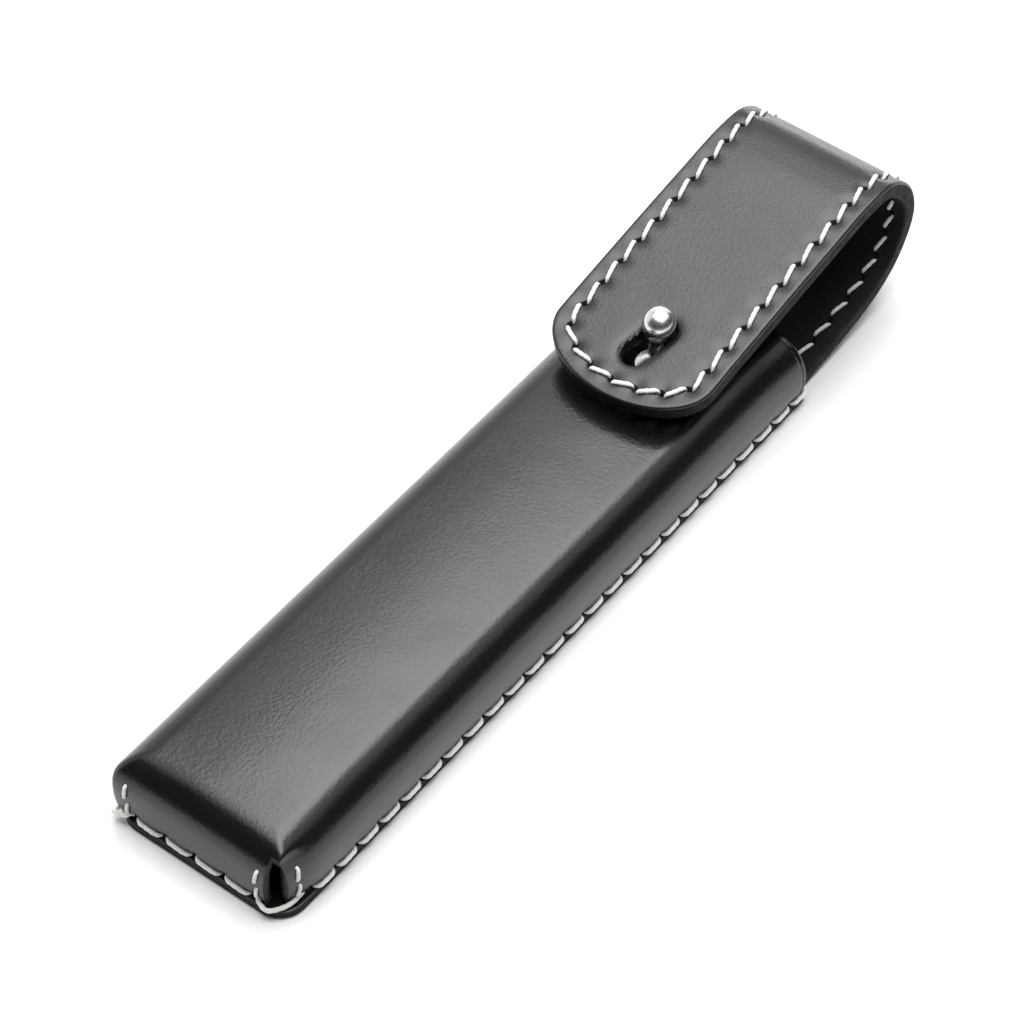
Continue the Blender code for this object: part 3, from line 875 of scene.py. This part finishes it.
def wall_stitch(kind, along, z, proud, tilt, steps):
    """One stitch on a wall: its line and outward directions. Along and z are (start, end)."""
    t = np.linspace(0, 1, steps)
    along, z = [start + (end - start) * t for start, end in (along, z)]
    line = wall_place(kind, along, z, proud - WALL_DIVE * at_ends(t))
    way_x, way_y = WALL_WAYS[kind]
    out = (way_x * math.cos(tilt), way_y * math.cos(tilt), math.sin(tilt))
    return line, np.tile(out, (steps, 1))


def seam_stitch(kind, middle, half, high, low):
    """One stitch lying in the corner between a wall and the back panel."""
    along, tilt = (middle - half, middle + half), math.atan2(0.6, 0.8)
    return wall_stitch(kind, along, (high, low), 0.36 * MM, tilt, 17)


def base_stitches(mat):
    """The seam that joins the shell to the back panel, seen from above."""
    side, end = base_middles()
    heights = (2.25 * MM, 2.75 * MM)
    made = [seam_stitch(kind, y, 2.15 * MM, *heights) for kind in ("left", "right") for y in side]
    made += [seam_stitch("end", x, 2.5 * MM, 2.9 * MM, 2.2 * MM) for x in end]
    piece = tubes("base_stitches", *zip(*made), mat)
    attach(piece, "case")
    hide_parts("base_thread")


def panel_stitches(mat):
    """The same seam seen from below, lying in the groove."""
    side, end = base_middles()
    t = np.linspace(0, 1, 15)
    swing, depth = 2 * t - 1, REST_DEPTH + 0.5 * MM * at_ends(t)
    row, slant = BACK_HALF - PANEL_ROW, 0.25 * MM
    lines = [
        np.column_stack([x + slant * swing, y + 2.1 * MM * swing, depth])
        for x in (-row, row)
        for y in side
    ]
    for x in end:
        y = END + PANEL_ROW + slant * swing
        lines.append(np.column_stack([x + 2.4 * MM * swing, y, depth]))
    outs = [np.tile((0.0, 0.0, -1.0), (len(t), 1))] * len(lines)
    piece = tubes("panel_stitches", lines, outs, mat)
    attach(piece, "case")


def upright_stitch(kind, middle, low, high):
    """One stitch of the columns beside an open corner."""
    slant = 0.22 * MM
    along = (middle - slant, middle + slant)
    return wall_stitch(kind, along, (low, high), 0.22 * MM, math.atan(0.1), 15)


def corner_stitches(mat):
    """Both open corners' columns and the stitch that bridges each at its foot."""
    for label, sign in (("left", -1), ("right", 1)):
        columns = ((label, SIDE_COLUMN), ("end", END_COLUMNS[label]))
        uprights = [upright_stitch(*column, *ends) for ends in UPRIGHTS for column in columns]
        piece = tubes("corner_stitches_" + label, *zip(*uprights), mat, UPRIGHT_THREAD)
        line, out = bridge_line(sign, END_COLUMNS[label], BRIDGE_BENDS[label])
        bridge = tubes("corner_bridge_" + label, [line], [out], mat)
        for made in (piece, bridge):
            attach(made, "case")
        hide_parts("corner_thread_" + label)


def bridge_line(sign, column, bend_x):
    """The long stitch under an open corner, from the end wall's column to the side wall's."""
    given = [
        (column - sign * 0.2 * MM, SHELL_END + 0.5 * MM, 3.3 * MM),
        (column + sign * 0.6 * MM, SHELL_END - 0.1 * MM, 2.7 * MM),
        (bend_x, SHELL_END - 0.2 * MM, 2.3 * MM),
        (sign * 16.9 * MM, SHELL_END + 2.3 * MM, 2.6 * MM),
        (sign * 17.6 * MM, SIDE_COLUMN + 1.1 * MM, 3.1 * MM),
    ]
    given = np.array(given)
    given = np.vstack([2 * given[0] - given[1], given, 2 * given[-1] - given[-2]])
    line = []
    for i in range(1, len(given) - 2):
        line += [through(*given[i - 1 : i + 3], k / 8) for k in range(8)]
    line = np.array(line + [given[-2]])
    out = np.tile((sign * 0.6, -0.6, 0.5), (len(line), 1))
    dive = 0.7 * MM * np.abs(np.linspace(-1, 1, len(line)))[:, None] ** 12
    return line - out * dive, out


# ---- stud ------------------------------------------------------------------------------------


def turned(name, profile, centre, lean, mat, steps=64):
    """A profile of (radius, z) points turned about an upright, then leant about its centre."""
    angle = np.arange(steps) * (2 * math.pi / steps)
    points = [[(r * math.cos(a), r * math.sin(a), z) for a in angle] for r, z in profile]
    points = np.array(points).reshape(-1, 3) + np.array((centre.x, centre.y, 0.0))
    points[:, :2] += np.outer(centre.z - points[:, 2], lean)
    faces = ring_cells(len(profile), steps)
    faces.append(list(range(steps)))
    faces.append(list(range((len(profile) - 1) * steps, len(profile) * steps)))
    return finish_mesh(name, points, faces, [0] * len(faces), [mat], sharp=50)


def stud(mat):
    """Ball, collar, neck and flange, turned finely in the place of the part's stud."""
    centre = (STUD_LOW + STUD_HIGH) / 2
    centre.z = middle = STUD_HIGH.z - BALL - BALL_DROP
    front = front_height(centre.x, centre.y)
    angles = np.linspace(0.02, math.pi - math.asin(1.45 * MM / BALL), 40)
    profile = [(BALL * math.sin(a), middle + BALL * math.cos(a)) for a in angles]
    below = profile[-1][1]
    rim = 1.6 * MM
    collar = ((rim, 0.1 * MM), (COLLAR, 0.35 * MM), (rim, 0.6 * MM), (1.3 * MM, 0.8 * MM))
    profile += [(radius, below - drop) for radius, drop in collar]
    profile.append((NECK, front + FLARE_HIGH))
    for t in np.linspace(0, 1, 10)[1:]:
        height = FLARE_HIGH - (FLARE_HIGH - FLARE_LOW) * t**0.9
        profile.append((NECK + 2.0 * MM * t**1.4, front + height))
    profile += [(FLANGE, front + 0.32 * MM), (3.3 * MM, front + 0.1 * MM), (3.1 * MM, front)]
    piece = turned("stud_chrome", profile, centre, STUD_LEAN, mat)
    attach(piece, "case")
    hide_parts("stud_head")


# ---- assembly --------------------------------------------------------------------------------


def make_strap(hide, lining, edge):
    """The strap's two layers, each in two pieces that meet at the far point of the loop."""
    outside, inside = [hide, edge], [lining, edge]
    from_mouth = dict(start=0.0, half_start=STRAP_HALF, tip=False)
    from_inside = dict(start=LINING_START, half_start=LINING_HALF, tip=False)
    flap = dict(start=NOSE, half_start=STRAP_HALF, tip=True)
    lower = strap_layer("strap_lower_leather", inner=False, mats=outside, **from_mouth)
    upper = strap_layer("flap_leather", inner=False, mats=outside, **flap)
    lower_lining = strap_layer("strap_lower_lining", inner=True, mats=inside, **from_inside)
    upper_lining = strap_layer("flap_lining_leather", inner=True, mats=inside, **flap)
    cut([upper, upper_lining], keyhole_cutter(edge))
    for piece in (lower, lower_lining):
        bend(piece)
    for piece in (upper, upper_lining):
        bend(piece)
    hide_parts("loop_outer")
    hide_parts("back_lining", "loop_lining")
    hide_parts("flap_outer")
    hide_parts("flap_lining")


def make_strap_stitches(mat):
    """The strap's stitches on both faces, parted where its leather is."""
    sides = ("left", "right")
    for face, inner in (("out", False), ("in", True)):
        radius = INNER_THREAD if inner else THREAD
        lines, outs = strap_stitches(1.5 * MM if inner else 0.5 * MM, NOSE, inner)
        low = tubes("strap_lower_stitches_" + face, lines, outs, mat, radius)
        lines, outs = strap_stitches(NOSE, TIP + MM, inner)
        high = tubes("flap_stitches_" + face, lines, outs, mat, radius)
        bend(low)
        bend(high)
        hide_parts(*[f"strap_thread_{side}_{face}" for side in sides])
        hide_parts(*[f"loop_thread_{side}_{face}" for side in sides])
        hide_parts("flap_thread_" + face)


def add_panel(name, place, way, turn, size, radiance):
    """A soft rectangular light that faces a way; turn is about it, size is (wide, high)."""
    data = bpy.data.lights.new(name, "AREA")
    data.shape = "RECTANGLE"
    data.size, data.size_y = size
    data.energy = radiance * math.pi * size[0] * size[1]
    lamp = placed(name, data)
    facing = Vector(way).to_track_quat("-Z", "Y").to_matrix() @ Matrix.Rotation(turn, 3, "Z")
    lamp.matrix_world = Matrix.Translation(place) @ facing.to_4x4()


def add_backdrop(name, way, distance, height, size, radiance):
    """An upright panel beside the object that faces a level way."""
    way = Vector(way)
    add_panel(name, Vector((0, 0, height)) - way * distance, way, 0.0, size, radiance)


def lights():
    """A softbox, panels that the leather mirrors, and a spot that whitens the floor behind."""
    down = (0.0, 0.0, -1.0)
    add_panel("softbox", Vector((-0.085, 0.24, 1.0)), down, math.radians(13), (0.75, 1.14), 5.6)
    add_panel("bounce_above", Vector((-0.15, 0.4, 1.05)), down, 0.0, (2.2, 1.8), 0.95)
    add_backdrop("backdrop_glow", (0.55, -0.83, 0.0), 1.6, 0.6, (2.6, 1.2), 0.95)
    add_backdrop("backdrop_low", (0.41, -0.91, 0.0), 1.5, 0.12, (1.6, 0.24), 1.6)
    add_backdrop("side_glow", (0.98, 0.18, 0.0), 1.35, 0.5, (1.3, 0.9), 0.8)
    spot = bpy.data.lights.new("floor_behind", "SPOT")
    spot.energy, spot.spot_size, spot.spot_blend = 420.0, math.radians(52), 0.7
    spot.shadow_soft_size = 0.15
    placed("floor_behind", spot).location = (-0.35, 0.8, 1.2)


def stage():
    """A plain floor and an even, dim world."""
    work = bmesh.new()
    bmesh.ops.create_grid(work, x_segments=1, y_segments=1, size=2.0)
    mesh = bpy.data.meshes.new("floor")
    work.to_mesh(mesh)
    work.free()
    mesh.materials.append(floor_material())
    floor = placed("floor", mesh)
    world = bpy.data.worlds.new("studio")
    bpy.context.scene.world = world
    world.use_nodes = True
    shade = world.node_tree.nodes["Background"]
    shade.inputs["Color"].default_value = (0.05, 0.05, 0.05, 1.0)
    shade.inputs["Strength"].default_value = 1.0


def camera():
    """The camera that was fitted to the photograph."""
    data = bpy.data.cameras.new("camera")
    data.lens, data.sensor_width = FOCAL_LENGTH, SENSOR
    data.clip_start, data.clip_end = 0.01, 10.0
    eye = placed("camera", data)
    level = Vector((math.sin(VIEW_TURN), -math.cos(VIEW_TURN), 0.0))
    back = level * math.cos(VIEW_RISE) + Vector((0.0, 0.0, math.sin(VIEW_RISE)))
    right = Vector((math.cos(VIEW_TURN), math.sin(VIEW_TURN), 0.0))
    up = back.cross(right)
    eye.matrix_world = Matrix((right, up, back)).transposed().to_4x4()
    eye.location = EYE
    bpy.context.scene.camera = eye


def main():
    """Builds the materials, the stage and every piece."""
    hide = hide_material("leather_hide", 0.22, 0.045 * MM)
    strap_hide = hide_material("leather_strap", 0.33, 0.045 * MM)
    lining, cotton = lining_material(), thread_material()
    edge = edge_material("leather_edge", 0.003, 0.016)
    # The raw edge's lighter tone is partly the cut leather's own fibre and partly painted light
    # for cut faces that lie in shade.
    raw_edge_painted_light = edge_material("leather_raw_edge", 0.03, 0.09)
    chrome = metal_material("stud_chrome", (0.88, 0.88, 0.89), 0.25)
    steel = metal_material("screw_steel", (0.5, 0.5, 0.51), 0.25)

    camera()
    stage()
    lights()
    bpy.context.scene.view_settings.view_transform = "Standard"
    front_shell([hide, lining, raw_edge_painted_light], raw_edge_painted_light)
    back_panel([strap_hide, edge])
    make_strap(strap_hide, lining, edge)
    make_strap_stitches(cotton)
    base_stitches(cotton)
    panel_stitches(cotton)
    corner_stitches(cotton)
    stud(chrome)
    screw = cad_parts["stud_screw"]
    screw.material_slots[0].material = steel


main()
